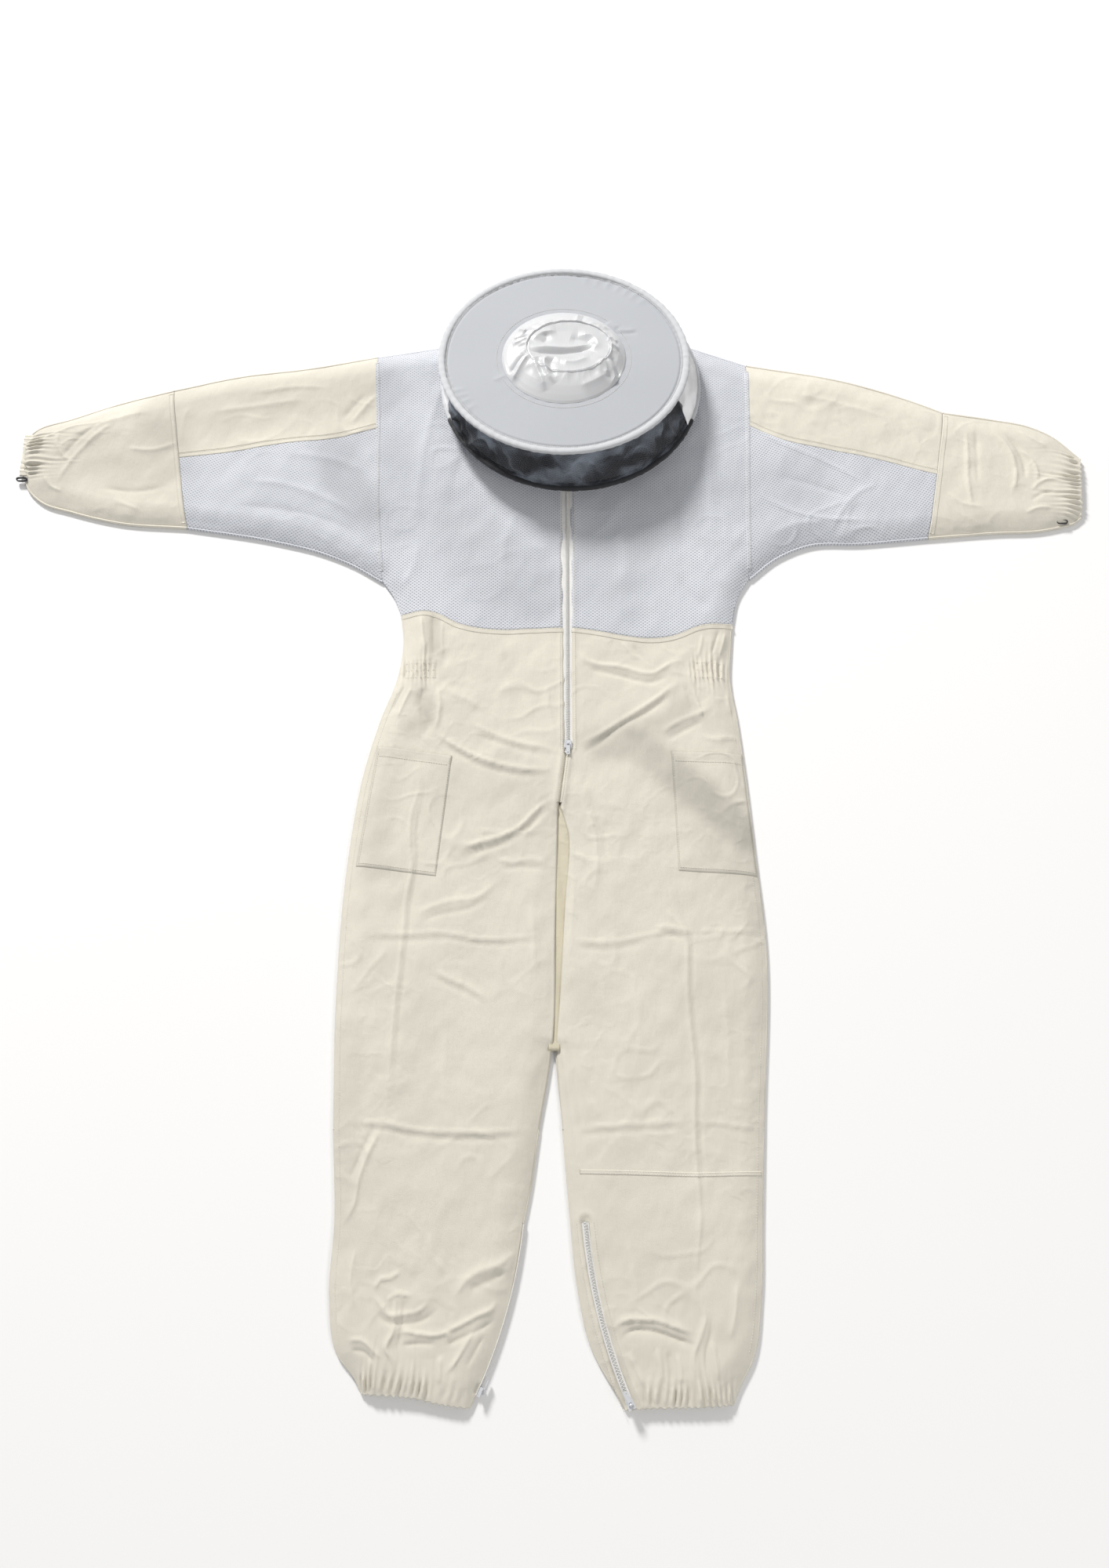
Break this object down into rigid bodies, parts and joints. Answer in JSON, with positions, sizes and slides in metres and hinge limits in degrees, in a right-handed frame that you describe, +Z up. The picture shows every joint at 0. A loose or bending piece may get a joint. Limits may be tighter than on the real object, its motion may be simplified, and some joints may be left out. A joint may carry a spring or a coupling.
{
  "type": "beekeeping suit",
  "caption": "Hooded beekeeping coverall laid flat: canvas and ventilated mesh panels, a wide-brimmed hat on a ringed veil, and zips at the front, neck and ankles.",
  "frame": {"origin": "middle of the laid-out suit, on the surface it lies on", "axes": "+X towards the wearer's left hand, +Y from feet to head, +Z up from the surface, out of the suit's front"},
  "size_m": [1.7046, 1.7419, 0.1077],
  "materials": {
    "canvas": "plain cotton canvas, unbleached",
    "spacer_mesh": "three-layer ventilated mesh",
    "hat_cloth": "satin cotton",
    "hat_binding": "folded cotton binding",
    "spring_wire": "plain",
    "black_net": "knitted net",
    "white_net": "knitted net",
    "black_elastic": "woven elastic",
    "zip_tape": "woven tape with nylon coil",
    "slider_enamel": "gloss enamel"
  },
  "bodies": {
    "coverall": {"back_mesh": "spacer_mesh", "front_mesh_right": "spacer_mesh", "front_mesh_left": "spacer_mesh", "front_trouser_right": "canvas", "front_trouser_left": "canvas", "back_trouser_right": "canvas", "back_trouser_left": "canvas", "sleeve_top_right": "canvas", "sleeve_top_left": "canvas", "sleeve_under_right": "spacer_mesh", "sleeve_under_left": "spacer_mesh", "sleeve_back_right": "canvas", "sleeve_back_left": "canvas", "coverall_seams": "canvas", "waist_elastic": "canvas", "hip_pockets": "canvas", "front_zip_chain": "zip_tape", "collar_band": "canvas", "collar_zip_chain": "zip_tape", "veil_skirt": "spacer_mesh", "veil_hoop_wire": "spring_wire", "veil_hoop_binding": "black_net", "veil_front": "black_net", "veil_back": "white_net"},
    "hat": {"crown_top": "hat_cloth", "crown_side": "hat_cloth", "hat_brim": "hat_cloth", "brim_wire": "spring_wire", "brim_binding": "hat_binding", "sweatband": "hat_binding"},
    "forearm_right": {"forearm_front_right": "canvas", "forearm_back_right": "canvas", "forearm_seams_right": "canvas", "wrist_elastic_right": "canvas", "thumb_loop_right": "black_elastic"},
    "shin_right": {"shin_front_right": "canvas", "shin_back_right": "canvas", "shin_seams_right": "canvas", "ankle_elastic_right": "canvas", "ankle_zip_chain_right": "zip_tape"},
    "forearm_left": {"forearm_front_left": "canvas", "forearm_back_left": "canvas", "forearm_seams_left": "canvas", "wrist_elastic_left": "canvas", "thumb_loop_left": "black_elastic"},
    "shin_left": {"shin_front_left": "canvas", "shin_back_left": "canvas", "shin_seams_left": "canvas", "ankle_elastic_left": "canvas", "ankle_zip_chain_left": "zip_tape"},
    "front_zip_slider": {"front_zip_slider": "slider_enamel"},
    "front_zip_pull": {"front_zip_pull": "slider_enamel"},
    "collar_zip_slider": {"collar_zip_slider": "slider_enamel"},
    "collar_zip_pull": {"collar_zip_pull": "slider_enamel"},
    "ankle_zip_slider_right": {"ankle_zip_slider_right": "slider_enamel"},
    "ankle_zip_pull_right": {"ankle_zip_pull_right": "slider_enamel"},
    "ankle_zip_slider_left": {"ankle_zip_slider_left": "slider_enamel"},
    "ankle_zip_pull_left": {"ankle_zip_pull_left": "slider_enamel"},
    "front_zip_top_slider": {"front_zip_top_slider": "slider_enamel", "front_zip_top_pull": "slider_enamel"}
  },
  "joints": [
    {"name": "hat_lift", "type": "slide", "parent": "coverall", "child": "hat", "axis": [0, 0, 1], "range_m": [0, 0.22], "deforming": ["veil_front", "veil_back"]},
    {"name": "front_zip", "type": "slide", "parent": "coverall", "child": "front_zip_slider", "axis": [0, 1, 0], "range_m": [0, 0.26]},
    {"name": "front_zip_pull_lift", "type": "hinge", "parent": "front_zip_slider", "child": "front_zip_pull", "pos_m": [0.02, 0.044, 0.0196], "axis": [-1, 0, 0], "range_deg": [0, 165]},
    {"name": "front_zip_top", "type": "slide", "parent": "coverall", "child": "front_zip_top_slider", "axis": [0, -1, 0], "range_m": [0, 0.2]},
    {"name": "collar_zip", "type": "hinge", "parent": "coverall", "child": "collar_zip_slider", "pos_m": [0.019, 0.655, 0.0282], "axis": [0, 0, 1], "range_deg": [0, 300]},
    {"name": "collar_zip_pull_lift", "type": "hinge", "parent": "collar_zip_slider", "child": "collar_zip_pull", "pos_m": [0.0656, 0.57429, 0.0282], "axis": [0, 0, 1], "range_deg": [0, 150]},
    {"name": "elbow_fold_right", "type": "hinge", "parent": "coverall", "child": "forearm_right", "pos_m": [-0.601, 0.536, 0.0165], "axis": [-0.167, 0.986, 0], "range_deg": [0, 170]},
    {"name": "knee_fold_right", "type": "hinge", "parent": "coverall", "child": "shin_right", "pos_m": [-0.16, -0.51, 0.0165], "axis": [-1, 0, 0], "range_deg": [0, 170]},
    {"name": "ankle_zip_right", "type": "hinge", "parent": "shin_right", "child": "ankle_zip_slider_right", "pos_m": [-0.6658, -0.5673, 0.008], "axis": [0, 0, 1], "range_deg": [0, 18]},
    {"name": "ankle_zip_pull_lift_right", "type": "hinge", "parent": "ankle_zip_slider_right", "child": "ankle_zip_pull_right", "pos_m": [-0.09241, -0.83921, 0.008], "axis": [0, 0, -1], "range_deg": [0, 165]},
    {"name": "elbow_fold_left", "type": "hinge", "parent": "coverall", "child": "forearm_left", "pos_m": [0.6095, 0.506, 0.0165], "axis": [-0.1885, -0.9821, 0], "range_deg": [0, 170]},
    {"name": "knee_fold_left", "type": "hinge", "parent": "coverall", "child": "shin_left", "pos_m": [0.148, -0.51, 0.0165], "axis": [-1, 0, 0], "range_deg": [0, 170]},
    {"name": "ankle_zip_left", "type": "hinge", "parent": "shin_left", "child": "ankle_zip_slider_left", "pos_m": [0.7159, -0.577, 0.008], "axis": [0, 0, -1], "range_deg": [0, 18]},
    {"name": "ankle_zip_pull_lift_left", "type": "hinge", "parent": "ankle_zip_slider_left", "child": "ankle_zip_pull_left", "pos_m": [0.09729, -0.85205, 0.0196], "axis": [0.9138, 0.4063, 0], "range_deg": [0, 165]}
  ]
}
